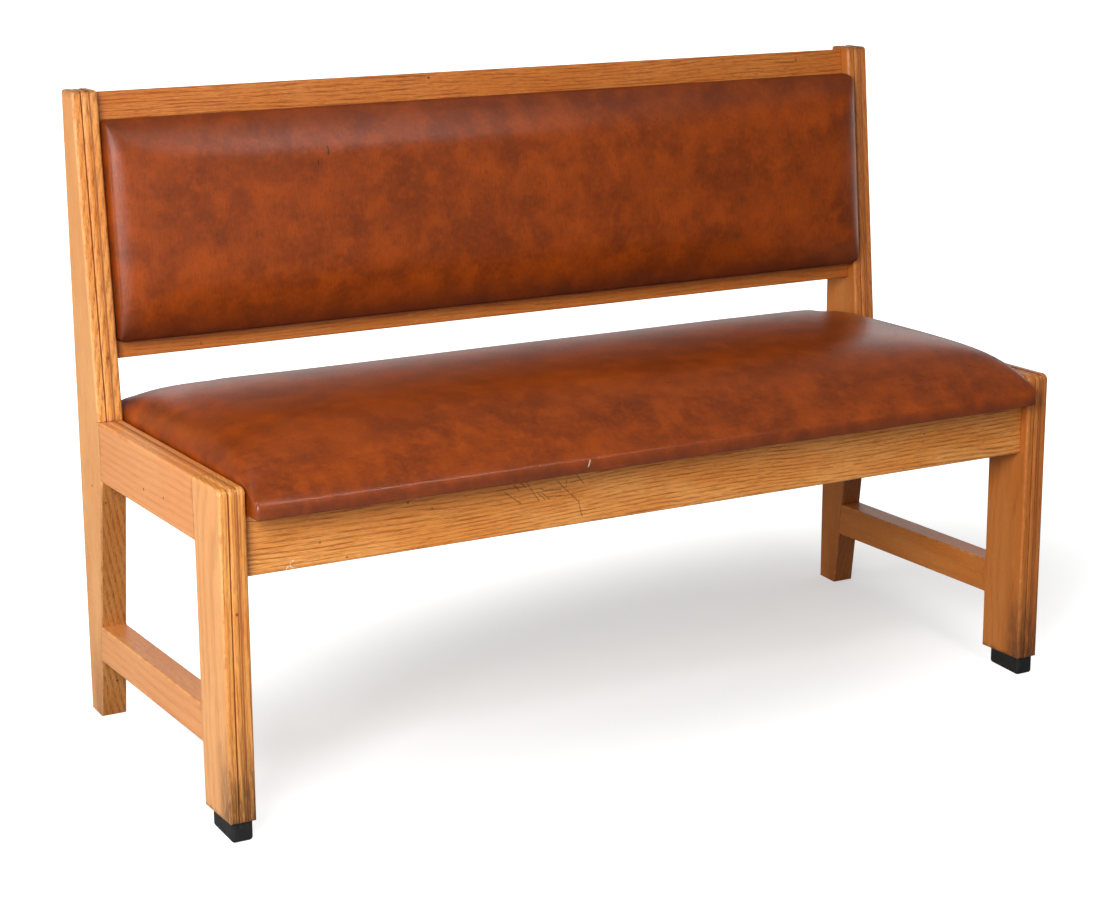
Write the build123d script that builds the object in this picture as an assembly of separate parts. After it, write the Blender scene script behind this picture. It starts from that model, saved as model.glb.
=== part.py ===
from build123d import *
import os
from math import atan2, cos, degrees, sin, tan

# Oak bench with a padded seat and back, in millimetres.
# It is drawn square, X along its length, Y from the front legs to the back and Z up from the wooden ends of the
# front legs. At the end it is leaned back onto the floor that its front blocks and rear feet stand on.

# End frames
bench_length = 1258          # over the outer faces of the two end frames
stock = 35                   # planed thickness of every end frame member
frame_depth = 484            # front of the front legs to the back of the rear posts
side_rail_top = 418          # the front leg ends level with it
side_rail_height = 80
stretcher_bottom = 82
stretcher_height = 49
leg_top_depth = 82
leg_foot_depth = 80
post_top = 844
post_rail_depth = 80         # rear post where the side rail meets it
post_top_depth = 40
post_foot_depth = 38
leg_corner_radius = 9        # the reeds turn over this corner
post_corner_radius = 6
post_back_radius = 5         # at the top of its back
foot_corner_radius = 3
heel_lift = 2.5              # the rear feet end this much above the wooden ends of the front legs

# Reeds and worn edges
bead_width = 8.6
groove_width = 2.6
groove_depth = 1.9
bead_drop = 0.2              # the bead's crest lies this far below the flat bands
reeded_edge = 4
plain_edge = 2.2
edge_middle_share = 0.32     # how far a worn edge's middle lies inside the corner, as a share of its size
groove_shoulder_share = 0.66
shoulder_depth_share = 0.32

# Joints
side_tenon_thickness = 12
side_tenon_length = 34
stretcher_tenon_length = 30
cross_tenon_thickness = 12
cross_tenon_length = 22
bearer_tenon_length = 10
tenon_shoulder = 12
glue_gap = 0.1
mortise_end_gap = 1

# Rails between the end frames
seat_drop = 38               # from the top of the side rails to the seat rails that the seat board lies on
seat_rail_height = 76
seat_rail_thickness = 26
front_rail_setback = 14
rear_rail_setback = 20       # from the back of the posts
back_rail_thickness = 20
back_rail_setback = 17       # behind the posts' raked front
top_rail_height = 66
top_rail_drop = 2            # short of the posts' top, along their front
lower_rail_height = 50
lower_rail_share = 0.1846    # how far up the raked posts it starts, between the side rails and their tops
rail_edge = 2.5

# Seat frame
batten_width = 22
batten_height = 25
bearer_width = 45
bearer_height = 50
corner_block_leg = 32
corner_block_height = 42
corner_block_rise = 8        # above the bottom of the seat rails

# Seat pad, between the end frames and out over the front rail
seat_board_thickness = 12
seat_overhang = 22           # in front of the front legs
seat_back_gap = 14           # short of the back of the posts
seat_side_gap = 2
seat_rise = 89               # full height above the rails that it lies on

# Back pad, let in between the posts in front of the two back rails
back_board_thickness = 9
back_pad_drop = 36           # from the top of the top rail to the top of the pad
back_pad_rise = 22           # from the bottom of the lower back rail to the bottom of the pad
back_pad_thickness = 46
pad_cover = 1.6
soft_gap = 0.3

# Outlines of the pads: how far along their depth, up their rise, and how far the stretch to the point bows out
# as a share of the rise. One is for the ends of a pad, the other for its middle.
seat_end_shares = ((0.012, 0, 0), (0.012, 0.315, 0), (0.022, 0.393, 0.02), (0.094, 0.427, 0.008),
                   (0.947, 0.427, 0.01), (0.988, 0.38, 0.015), (0.988, 0, 0))
seat_middle_shares = ((0, 0, 0), (0, 0.19, 0), (0.016, 0.315, 0.027), (0.166, 0.742, 0.03),
                      (0.915, 0.708, 0.27), (1, 0.427, 0.1), (1, 0, 0))
back_end_shares = ((0.01, 0, 0), (0.01, 0.3, 0), (0.16, 0.6, 0.1), (0.9, 0.72, 0.065), (0.99, 0.33, 0.1),
                   (0.99, 0, 0))
back_middle_shares = ((0, 0, 0), (0, 0.39, 0), (0.17, 0.89, 0.13), (0.84, 0.94, 0.07), (1, 0.43, 0.15),
                      (1, 0, 0))

# How a pad rises from its end outline to its middle one: distances in from its end, and the share reached there
seat_distances = (0, 3, 8, 16, 28, 46, 75, 120, 200, 340)
seat_rise_shares = (0, 0.28, 0.48, 0.62, 0.72, 0.8, 0.865, 0.915, 0.96, 0.988)
back_distances = (0, 2, 5, 10, 18, 32, 60, 120, 260)
back_rise_shares = (0, 0.28, 0.47, 0.64, 0.78, 0.88, 0.94, 0.975, 0.993)

# Front blocks
block_height = 26.5
block_width = 28
block_depth = 62
block_inset = 4
block_edge_radius = 5

# Screws
screw_radius = 2
screw_head_radius = 4
screw_head_height = 2.6
screw_point = 5
screw_clearance = 0.15
block_screw_length = 32
block_screw_spacing = 30
block_recess_depth = 16
block_recess_radius = 5.5
batten_screw_length = 33
board_screw_length = 33
corner_screw_length = 30
corner_screw_offset = 10     # above and below the middle of a corner block
panel_screw_length = 26
batten_screw_shares = (0.2, 0.5, 0.8)
board_screw_shares = (0.08, 0.35, 0.65, 0.92)
panel_screw_shares = (-0.86, -0.3, 0.3, 0.86)

overrun = 6                  # how far cutters run past what they cut

half_stock = stock / 2
half_length = bench_length / 2
frame_x = half_length - half_stock            # middle of the right end frame
inner_x = half_length - stock                 # its inner face
side_rail_bottom = side_rail_top - side_rail_height
stretcher_top = stretcher_bottom + stretcher_height
post_rail_front = frame_depth - post_rail_depth
post_top_front = frame_depth - post_top_depth
rake = atan2(post_top_front - post_rail_front, post_top - side_rail_top)
lean = atan2(block_height + heel_lift, frame_depth - block_inset)
seat_height = side_rail_top - seat_drop
seat_rail_bottom = seat_height - seat_rail_height
front_rail_back = front_rail_setback + seat_rail_thickness
rear_rail_front = frame_depth - rear_rail_setback - seat_rail_thickness
pad_half_width = inner_x - seat_side_gap
lining = pad_cover + soft_gap                 # from a pad's outside to its foam and board


def floor_at(y):
    """Height of the floor under the square bench."""
    return (y - block_inset) * tan(lean) - block_height


def leg_back_at(z):
    """Back face of the front leg, which narrows a little to its foot."""
    return leg_foot_depth + (leg_top_depth - leg_foot_depth) * z / side_rail_top


def post_front_at(z):
    """Front face of the rear post: it widens up to the side rail and narrows again above it."""
    foot_front = frame_depth - post_foot_depth
    if z < side_rail_bottom:
        return foot_front + (post_rail_front - foot_front) * z / side_rail_bottom
    return post_rail_front + max(z - side_rail_top, 0) * tan(rake)


def plate(x_from, x_to, points, radii=0):
    """Solid between two places in X with an outline of (y, z) points and a radius for each corner."""
    outline = FilletPolyline(*points, radius=radii, close=True)
    return extrude(Plane.YZ.offset(x_from) * make_face(outline), x_to - x_from)


def block(x, y, z):
    """Box between pairs of limits."""
    middle = [(low + high) / 2 for low, high in (x, y, z)]
    return Pos(*middle) * Box(*[high - low for low, high in (x, y, z)])


def mortise(limits, runs_along):
    """Hole for a tenon with these limits: a glue gap at its cheeks and some room at its end."""
    gaps = [mortise_end_gap if axis == runs_along else glue_gap for axis in "xyz"]
    return block(*[(low - gap, high + gap) for (low, high), gap in zip(limits, gaps)])


# Reeds and worn edges: profiles of waste carried along a run of (y, z) points. A run goes forwards over a top,
# down a front, backwards under a bottom and up a back, so that the outside is always on the same side of it.
def reed_profile():
    """Two round-shouldered grooves with a bead between them."""
    bead, edge = bead_width / 2, bead_width / 2 + groove_width
    shoulder = bead + groove_width * groove_shoulder_share
    depth = groove_depth * shoulder_depth_share
    return make_face([
        Line((-edge, overrun), (edge, overrun)),
        Line((edge, overrun), (edge, 0)),
        ThreePointArc((edge, 0), (shoulder, -depth), (bead, -groove_depth)),
        ThreePointArc((bead, -groove_depth), (0, -bead_drop), (-bead, -groove_depth)),
        ThreePointArc((-bead, -groove_depth), (-shoulder, -depth), (-edge, 0)),
        Line((-edge, 0), (-edge, overrun)),
    ])


def edge_profile(size, side):
    """Waste outside one rounded edge; side is 1 or -1."""
    outside, inside, face = side * (half_stock + overrun), side * (half_stock - size), side * half_stock
    middle = (side * (half_stock - size * edge_middle_share), -size * edge_middle_share)
    return make_face([
        Line((inside, overrun), (outside, overrun)),
        Line((outside, overrun), (outside, -size)),
        Line((outside, -size), (face, -size)),
        ThreePointArc((face, -size), middle, (inside, 0)),
        Line((inside, 0), (inside, overrun)),
    ])


def waste(run, profiles, corner=0):
    """Profiles carried along a run, around one corner where it has three points."""
    points = [(frame_x, y, z) for y, z in run]
    path = FilletPolyline(*points, radius=corner) if len(points) > 2 else Line(*points)
    start = Plane(origin=path @ 0, x_dir=(1, 0, 0), z_dir=path % 0)
    return [sweep(start * profile, path) for profile in profiles]


def reeded(*run, corner):
    return waste(run, [reed_profile(), edge_profile(reeded_edge, 1), edge_profile(reeded_edge, -1)], corner)


def eased(*run):
    return waste(run, [edge_profile(plain_edge, 1), edge_profile(plain_edge, -1)])


def seat_level_reeds():
    """The moulding along the side rail's top, over the leg's corner and down its front."""
    return reeded((post_rail_front + overrun, side_rail_top), (0, side_rail_top), (0, -overrun),
                  corner=leg_corner_radius)


# Screws. A place is a head's middle, the way the screw is driven and its length.
def screw(head, direction, length, clearance=0):
    head_radius, radius = screw_head_radius + clearance, screw_radius + clearance
    outline = Polyline((0, 0), (head_radius, 0), (radius, screw_head_height), (radius, length - screw_point),
                       (0, length + clearance), close=True)
    turned = revolve(Plane.XZ * make_face(outline), Axis.Z)
    return Plane(origin=head, z_dir=direction).location * turned


def screw_hole(head, direction, length):
    """Hole for a screw, with the way in for its head."""
    way_in = Pos(0, 0, -overrun / 2) * Cylinder(screw_head_radius + screw_clearance, overrun)
    hole = screw(head, direction, length, screw_clearance)
    return hole + Plane(origin=head, z_dir=direction).location * way_in


def holes(places):
    return [screw_hole(*place) for place in places]


def block_screw_places():
    middle = block_inset + block_depth / 2
    ys = (middle - block_screw_spacing / 2, middle + block_screw_spacing / 2)
    return [((frame_x, y, block_recess_depth - block_height), (0, 0, 1), block_screw_length) for y in ys]


def corner_screw_places(end):
    """One screw into the leg or post and one into the seat rail, through the front or rear corner block."""
    rail, inward = (front_rail_back, 1) if end == "front" else (rear_rail_front, -1)
    middle = seat_rail_bottom + corner_block_rise + corner_block_height / 2
    centre = corner_block_leg / 2
    sunk = centre - screw_head_radius
    return [((inner_x - sunk, rail + inward * centre, middle + corner_screw_offset), (1, 0, 0), corner_screw_length),
            ((inner_x - centre, rail + inward * sunk, middle - corner_screw_offset), (0, -inward, 0),
             corner_screw_length)]


def along_batten(shares):
    return [front_rail_back + (rear_rail_front - front_rail_back) * share for share in shares]


def batten_screw_places():
    z = seat_height - batten_height / 2
    return [((inner_x - batten_width, y, z), (1, 0, 0), batten_screw_length)
            for y in along_batten(batten_screw_shares)]


def board_screw_places():
    x, z = inner_x - batten_width / 2, seat_height - batten_height
    return [((x, y, z), (0, 0, 1), board_screw_length) for y in along_batten(board_screw_shares)]


def panel_screw_places(bottom, top):
    """Through a back rail into the back board, in the back's own frame."""
    pad_bottom, pad_top = back_pad_limits()
    low, high = max(bottom, pad_bottom), min(top, pad_top)
    return [((pad_half_width * share, (low + high) / 2, -back_rail_thickness), (0, 0, 1), panel_screw_length)
            for share in panel_screw_shares]


# Tenons, drawn for the right end frame
def leg_tenon_span(length):
    """Limits in Y of a tenon let this far into the back of the front leg."""
    least, most = sorted((leg_foot_depth, leg_top_depth))
    return least - length, most + mortise_end_gap


def side_rail_tenons():
    x = (frame_x - side_tenon_thickness / 2, frame_x + side_tenon_thickness / 2)
    z = (side_rail_bottom + tenon_shoulder, side_rail_top - tenon_shoulder)
    return [(x, leg_tenon_span(side_tenon_length), z),
            (x, (post_rail_front - mortise_end_gap, post_rail_front + side_tenon_length), z)]


def stretcher_tenons():
    x = (frame_x - side_tenon_thickness / 2, frame_x + side_tenon_thickness / 2)
    z = (stretcher_bottom + tenon_shoulder, stretcher_top - tenon_shoulder)
    post = post_front_at(stretcher_top)
    root = post_front_at(stretcher_bottom) - post_front_at(stretcher_top)
    return [(x, leg_tenon_span(stretcher_tenon_length), z),
            (x, (post - mortise_end_gap, post + root + stretcher_tenon_length), z)]


def seat_rail_tenon(rail_front):
    """Tenon at a seat rail's right end, from the place of the rail's front face."""
    middle = rail_front + seat_rail_thickness / 2
    return ((inner_x - mortise_end_gap, inner_x + cross_tenon_length),
            (middle - cross_tenon_thickness / 2, middle + cross_tenon_thickness / 2),
            (seat_rail_bottom + tenon_shoulder, seat_height - tenon_shoulder))


def back_rail_tenon(bottom, top):
    """Tenon at a back rail's right end, in the back's own frame."""
    middle = -back_rail_thickness / 2
    return ((inner_x - mortise_end_gap, inner_x + cross_tenon_length),
            (bottom + tenon_shoulder, top - tenon_shoulder),
            (middle - cross_tenon_thickness / 2, middle + cross_tenon_thickness / 2))


def bearer_tenons():
    """Stub tenons of the middle bearer, one in each seat rail."""
    x = (-bearer_width / 2, bearer_width / 2)
    z = (seat_height - bearer_height + tenon_shoulder, seat_height - tenon_shoulder)
    return [(x, (front_rail_back - bearer_tenon_length, front_rail_back + mortise_end_gap), z),
            (x, (rear_rail_front - mortise_end_gap, rear_rail_front + bearer_tenon_length), z)]


# End frames, drawn for the right end
def front_leg():
    outline = [(0, 0), (leg_foot_depth, 0), (leg_top_depth, side_rail_top), (0, side_rail_top)]
    radii = [foot_corner_radius, foot_corner_radius, 0, leg_corner_radius]
    leg = plate(inner_x, half_length, outline, radii) - seat_level_reeds()
    leg -= eased((-overrun, 0), (leg_foot_depth + overrun, 0))
    leg -= eased((leg_back_at(-overrun), -overrun), (leg_back_at(stretcher_bottom), stretcher_bottom))
    leg -= eased((leg_back_at(stretcher_top), stretcher_top), (leg_back_at(side_rail_bottom), side_rail_bottom))
    leg -= mortise(side_rail_tenons()[0], "y")
    leg -= mortise(stretcher_tenons()[0], "y")
    leg -= mortise(seat_rail_tenon(front_rail_setback), "x")
    return leg - holes(block_screw_places() + corner_screw_places("front")[:1])


def rear_post():
    toe, heel = post_front_at(0), frame_depth
    top_front, top_back = (post_top_front, post_top), (frame_depth, post_top)
    outline = [(toe, floor_at(toe)), (heel, floor_at(heel)), top_back, top_front,
               (post_rail_front, side_rail_top), (post_rail_front, side_rail_bottom)]
    radii = [0, 0, post_back_radius, post_corner_radius, 0, 0]
    reeds_end = (post_rail_front - groove_depth * tan(rake), side_rail_top - groove_depth)
    post = plate(inner_x, half_length, outline, radii)
    post -= reeded((frame_depth + overrun, post_top), top_front, reeds_end, corner=post_corner_radius)
    post -= eased((frame_depth, -block_height), (frame_depth, post_top + overrun))
    post -= eased((post_rail_front, side_rail_bottom), (post_front_at(stretcher_top), stretcher_top))
    post -= eased((post_front_at(stretcher_bottom), stretcher_bottom), (post_front_at(-overrun), -overrun))
    post -= mortise(side_rail_tenons()[1], "y")
    post -= mortise(stretcher_tenons()[1], "y")
    post -= mortise(seat_rail_tenon(rear_rail_front), "x")
    post -= [back_frame() * mortise(back_rail_tenon(*rail), "x") for rail in (lower_rail(), top_rail())]
    return post - holes(corner_screw_places("rear")[:1])


def side_rail():
    outline = [(leg_back_at(side_rail_bottom), side_rail_bottom), (post_rail_front, side_rail_bottom),
               (post_rail_front, side_rail_top), (leg_top_depth, side_rail_top)]
    rail = plate(inner_x, half_length, outline) - seat_level_reeds()
    rail -= eased((leg_foot_depth, side_rail_bottom), (post_rail_front + overrun, side_rail_bottom))
    rail += [block(*limits) for limits in side_rail_tenons()]
    return rail - holes(batten_screw_places())


def stretcher():
    bottom, top = stretcher_bottom, stretcher_top
    outline = [(leg_back_at(bottom), bottom), (post_front_at(bottom), bottom),
               (post_front_at(top), top), (leg_back_at(top), top)]
    rail = plate(inner_x, half_length, outline)
    rail -= eased((post_front_at(bottom), top), (leg_foot_depth, top))
    rail -= eased((leg_foot_depth, bottom), (post_front_at(bottom) + overrun, bottom))
    return rail + [block(*limits) for limits in stretcher_tenons()]


def rubber_block():
    front, back = block_inset, block_inset + block_depth
    outline = [(front, 0), (front, floor_at(front)), (back, floor_at(back)), (back, 0)]
    foot = plate(frame_x - block_width / 2, frame_x + block_width / 2, outline)
    rounded = foot.edges() - foot.faces().sort_by(Axis.Z)[-1].edges()
    foot = fillet(rounded, block_edge_radius)
    for head, _, _ in block_screw_places():
        recess = (head[2] - block_height, head[2])
        foot -= Pos(head[0], head[1], sum(recess) / 2) * Cylinder(block_recess_radius, block_height)
    return foot - holes(block_screw_places())


# Rails between the end frames
def both_ends(limits):
    tenon = block(*limits)
    return [tenon, mirror(tenon, Plane.YZ)]


def seat_rail(front, end):
    """Front or rear seat rail, from the place of its front face."""
    back = front + seat_rail_thickness
    outline = [(front, seat_rail_bottom), (back, seat_rail_bottom), (back, seat_height), (front, seat_height)]
    rail = plate(-inner_x, inner_x, outline, rail_edge) + both_ends(seat_rail_tenon(front))
    rail -= [mortise(limits, "y") for limits in bearer_tenons()]
    drilled = holes(corner_screw_places(end)[1:])
    return rail - drilled - [mirror(hole, Plane.YZ) for hole in drilled]


def seat_bearer():
    bearer = block((-bearer_width / 2, bearer_width / 2), (front_rail_back, rear_rail_front),
                   (seat_height - bearer_height, seat_height))
    return bearer + [block(*limits) for limits in bearer_tenons()]


def back_frame():
    """Place of the back: X across, Y up the raked posts from the side rail, Z forwards from the back rails."""
    origin = (0, post_rail_front + back_rail_setback * cos(rake), side_rail_top - back_rail_setback * sin(rake))
    return Plane(origin=origin, x_dir=(1, 0, 0), z_dir=(0, -cos(rake), sin(rake))).location


def back_height():
    """Length of the raked posts above the side rails."""
    return (post_top - side_rail_top) / cos(rake)


def lower_rail():
    """Bottom and top of the lower back rail, up the posts."""
    bottom = back_height() * lower_rail_share
    return bottom, bottom + lower_rail_height


def top_rail():
    top = back_height() - top_rail_drop
    return top - top_rail_height, top


def back_pad_limits():
    """Bottom and top of the back pad, up the back."""
    return lower_rail()[0] + back_pad_rise, top_rail()[1] - back_pad_drop


def back_rail(bottom, top):
    outline = [(bottom, 0), (bottom, -back_rail_thickness), (top, -back_rail_thickness), (top, 0)]
    rail = plate(-inner_x, inner_x, outline, rail_edge) + both_ends(back_rail_tenon(bottom, top))
    return back_frame() * (rail - holes(panel_screw_places(bottom, top)))


# Seat frame, drawn for the right end
def batten():
    rail = block((inner_x - batten_width, inner_x), (front_rail_back, rear_rail_front),
                 (seat_height - batten_height, seat_height))
    return rail - holes(batten_screw_places() + board_screw_places())


def corner_block(end):
    """Three-cornered glue block between a seat rail and the end frame."""
    y, inward = (front_rail_back, 1) if end == "front" else (rear_rail_front, -1)
    face = make_face(Polyline((inner_x, y), (inner_x, y + inward * corner_block_leg),
                              (inner_x - corner_block_leg, y), close=True))
    wedge = extrude(Plane.XY.offset(seat_rail_bottom + corner_block_rise) * face, corner_block_height, dir=(0, 0, 1))
    return wedge - holes(corner_screw_places(end))


# Pads, in a frame with X across, Y along the pad's depth and Z up from the rails that it lies on
def outline_steps(end_shares, middle_shares, share, front, depth, rise, inset):
    """Outline points and bulges, a share of the way from the end outline to the middle one."""
    steps = []
    for end, middle in zip(end_shares, middle_shares):
        along, up, bulge = [low + (high - low) * share for low, high in zip(end, middle)]
        steps.append((front + inset + along * (depth - 2 * inset), up * (rise - inset), bulge * rise))
    return steps


def section(x, steps):
    """Closed face across the bench at one place in X."""
    edges = []
    for (y0, z0, _), (y1, z1, bulge) in zip(steps, steps[1:]):
        start, end = Vector(y0, z0), Vector(y1, z1)
        out = Vector(z0 - z1, y1 - y0).normalized() * bulge
        edges.append(ThreePointArc(start, (start + end) / 2 + out, end) if bulge else Line(start, end))
    edges.append(Line(Vector(*steps[-1][:2]), Vector(*steps[0][:2])))
    return Plane.YZ.offset(x) * make_face(edges)


def pad(distances, rise_shares, end_shares, middle_shares, front, depth, rise, inset=0):
    """Padded form lofted from both ends to the middle."""
    reach = pad_half_width - inset
    right = [(reach - distance, share) for distance, share in zip(distances, rise_shares)]
    left = [(-x, share) for x, share in right]
    return loft([section(x, outline_steps(end_shares, middle_shares, share, front, depth, rise, inset))
                 for x, share in left + [(0, 1)] + right[::-1]], ruled=True)


def seat_pad(inset=0):
    depth = frame_depth - seat_back_gap + seat_overhang
    return Pos(0, 0, seat_height) * pad(seat_distances, seat_rise_shares, seat_end_shares, seat_middle_shares,
                                        -seat_overhang, depth, seat_rise, inset)


def back_pad(inset=0):
    bottom, top = back_pad_limits()
    return back_frame() * pad(back_distances, back_rise_shares, back_end_shares, back_middle_shares,
                              bottom, top - bottom, back_pad_thickness, inset)


def board(front, depth, thickness, end_shares):
    """Board in the base of a pad, inside the cover at the pad's drawn-in ends."""
    half, drawn_in = pad_half_width - lining, end_shares[0][0] * depth + lining
    return block((-half, half), (front + drawn_in, front + depth - drawn_in), (0, thickness))


def seat_board_blank():
    depth = frame_depth - seat_back_gap + seat_overhang
    return Pos(0, 0, seat_height) * board(-seat_overhang, depth, seat_board_thickness, seat_end_shares)


def back_board_blank():
    bottom, top = back_pad_limits()
    return back_frame() * board(bottom, top - bottom, back_board_thickness, back_end_shares)


def panel_screws():
    return [(back_frame(), place) for rail in (lower_rail(), top_rail()) for place in panel_screw_places(*rail)]


# Assembly
def mirrored(shape):
    return mirror(shape, Plane.YZ)


def group(solids):
    return Compound(list(solids))


def both_sides(places):
    """Screws at these places of the right end and their mirror images at the left end."""
    right = [screw(*place) for place in places]
    return group(right + [mirrored(solid) for solid in right])


def square_bench():
    """Every node of the bench before it is leaned back."""
    nodes = {}
    paired = {
        "front_leg": front_leg(),
        "rear_post": rear_post(),
        "side_rail": side_rail(),
        "stretcher": stretcher(),
        "seat_batten": batten(),
        "front_corner_block": corner_block("front"),
        "rear_corner_block": corner_block("rear"),
        "rubber_block": rubber_block(),
    }
    for name, shape in paired.items():
        nodes["right_" + name] = shape
        nodes["left_" + name] = mirrored(shape)
    nodes["front_seat_rail"] = seat_rail(front_rail_setback, "front")
    nodes["rear_seat_rail"] = seat_rail(rear_rail_front, "rear")
    nodes["top_back_rail"] = back_rail(*top_rail())
    nodes["lower_back_rail"] = back_rail(*lower_rail())
    nodes["seat_bearer"] = seat_bearer()

    board_holes = holes(board_screw_places())
    nodes["seat_board"] = seat_board_blank() - board_holes - [mirrored(hole) for hole in board_holes]
    nodes["seat_foam"] = seat_pad(lining) - seat_board_blank()
    nodes["seat_cover"] = seat_pad() - seat_pad(pad_cover)
    nodes["back_board"] = back_board_blank() - [frame * screw_hole(*place) for frame, place in panel_screws()]
    nodes["back_foam"] = back_pad(lining) - back_board_blank()
    nodes["back_cover"] = back_pad() - back_pad(pad_cover)

    nodes["rubber_block_screws"] = both_sides(block_screw_places())
    nodes["corner_block_screws"] = both_sides(corner_screw_places("front") + corner_screw_places("rear"))
    nodes["seat_batten_screws"] = both_sides(batten_screw_places())
    nodes["seat_board_screws"] = both_sides(board_screw_places())
    nodes["back_board_screws"] = group(frame * screw(*place) for frame, place in panel_screws())
    return nodes


def stand(nodes):
    """Leans the bench back onto its floor and puts the middle of its base at the origin."""
    leaned = {name: Rot(X=-degrees(lean)) * shape for name, shape in nodes.items()}
    box = group(leaned.values()).bounding_box()
    middle = box.center()
    return {name: Pos(-middle.X, -middle.Y, -box.min.Z) * shape for name, shape in leaned.items()}


os.makedirs("parts", exist_ok=True)
for name, shape in stand(square_bench()).items():
    export_step(shape, "parts/" + name + ".step")
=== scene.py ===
import math

import bmesh
import bpy
import numpy as np
from mathutils import Matrix, Vector


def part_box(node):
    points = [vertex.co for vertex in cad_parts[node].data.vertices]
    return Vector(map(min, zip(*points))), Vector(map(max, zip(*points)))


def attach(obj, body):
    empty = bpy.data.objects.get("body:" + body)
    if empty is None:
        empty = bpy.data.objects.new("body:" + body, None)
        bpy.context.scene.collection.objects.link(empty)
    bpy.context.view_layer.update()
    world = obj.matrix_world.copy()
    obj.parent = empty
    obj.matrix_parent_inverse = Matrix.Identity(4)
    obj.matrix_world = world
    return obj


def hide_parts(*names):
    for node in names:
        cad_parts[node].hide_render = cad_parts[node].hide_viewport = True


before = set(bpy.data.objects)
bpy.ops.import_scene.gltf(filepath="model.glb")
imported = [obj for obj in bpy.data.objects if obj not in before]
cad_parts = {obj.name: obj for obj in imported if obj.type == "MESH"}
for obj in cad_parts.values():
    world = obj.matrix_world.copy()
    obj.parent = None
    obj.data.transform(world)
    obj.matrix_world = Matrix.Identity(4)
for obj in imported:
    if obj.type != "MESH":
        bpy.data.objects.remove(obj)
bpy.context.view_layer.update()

# The bench is worked out square, in millimetres, as it was before it was leaned back onto its front blocks: X along
# its length, Y from the front legs to the back, Z up from the wooden ends of the front legs.
BENCH_LENGTH = 1258
STOCK = 35
FRAME_DEPTH = 484
SIDE_RAIL_TOP = 418
SIDE_RAIL_BOTTOM = 338
STRETCHER_BOTTOM = 82
STRETCHER_TOP = 131
LEG_DEPTH = 82
LEG_FOOT_DEPTH = 80
POST_RAIL_FRONT = 404
POST_TOP_FRONT = 444
POST_FOOT_FRONT = 446
POST_TOP = 844
BLOCK_HEIGHT = 26.5
BLOCK_INSET = 4
HEEL_LIFT = 2.5
SEAT_HEIGHT = 380
SEAT_RAIL_HEIGHT = 76
FRONT_RAIL_FRONT = 14
FRONT_RAIL_BACK = 40
BACK_SETBACK = 17
BACK_PAD_BOTTOM = 101
BACK_PAD_HEIGHT = 288.9
PAD_HALF = 592
SEAT_FRONT = -22
SEAT_BACK = 470
CORNER_BLOCK_BOTTOM = 312

CAMERA_PLACE = (-1692.43, -2632.34, 1165.15)
CAMERA_YAW = -29.84
CAMERA_PITCH = -13.97
CAMERA_ROLL = -0.25
CAMERA_LENS = 81.64
SENSOR_WIDTH = 36

# Each light: its name, place and target in metres, size in metres, and power in watts
LIGHTS = (("key", (-2.2, -1.9, 1.75), (-0.2, 0, 0.45), (1.2, 1.4), 96),
          ("high_front", (0.5, -1.35, 2.27), (-0.4, 0, 0.42), (0.45, 0.4), 10),
          ("front_fill", (0.4, -4.0, 1.3), (0, 0, 0.4), (2.2, 1.4), 10),
          ("top", (-0.6, 0.3, 3.0), (0, 0, 0.4), (1.8, 1.0), 4),
          ("left_card", (-3.0, 0.7, 1.1), (-0.6, 0, 0.5), (1.6, 1.6), 30),
          ("back_card", (1.5, 2.9, 1.05), (0, 0, 0.5), (3.2, 1.0), 12),
          ("right_card", (2.6, 0.6, 0.7), (0.5, 0, 0.5), (1.4, 1.4), 8))

half_length = BENCH_LENGTH / 2
frame_x = half_length - STOCK / 2
inner_x = half_length - STOCK
lean = math.atan2(BLOCK_HEIGHT + HEEL_LIFT, FRAME_DEPTH - BLOCK_INSET)
rake = math.atan2(POST_TOP_FRONT - POST_RAIL_FRONT, POST_TOP - SIDE_RAIL_TOP)
lift = BLOCK_HEIGHT * math.cos(lean) + BLOCK_INSET * math.sin(lean)
corner_y = FRONT_RAIL_BACK * math.cos(lean) + CORNER_BLOCK_BOTTOM * math.sin(lean)
centre_y = corner_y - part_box("left_front_corner_block")[0].y * 1000

TO_ROW = (Matrix.Scale(0.001, 4) @ Matrix.Translation((0, -centre_y, lift)) @ Matrix.Rotation(-lean, 4, "X"))
TO_BENCH = TO_ROW.inverted()
BACK_PLACE = (Matrix.Translation((0, POST_RAIL_FRONT + BACK_SETBACK * math.cos(rake),
                                  SIDE_RAIL_TOP - BACK_SETBACK * math.sin(rake)))
              @ Matrix.Rotation(math.pi / 2 - rake, 4, "X"))


# Camera and studio
def make_camera():
    """The camera that the bench's corners in the photograph were fitted to."""
    place = Matrix.Translation(CAMERA_PLACE)
    turn = (Matrix.Rotation(math.radians(CAMERA_YAW), 4, "Z")
            @ Matrix.Rotation(math.radians(90 + CAMERA_PITCH), 4, "X")
            @ Matrix.Rotation(math.radians(CAMERA_ROLL), 4, "Z"))
    data = bpy.data.cameras.new("camera")
    data.sensor_width = SENSOR_WIDTH
    data.lens = CAMERA_LENS
    data.clip_start = 0.05
    data.clip_end = 60
    camera = bpy.data.objects.new("camera", data)
    bpy.context.scene.collection.objects.link(camera)
    location, rotation, _ = (TO_ROW @ place @ turn).decompose()
    camera.location = location
    camera.rotation_mode = "QUATERNION"
    camera.rotation_quaternion = rotation
    bpy.context.scene.camera = camera


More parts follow.
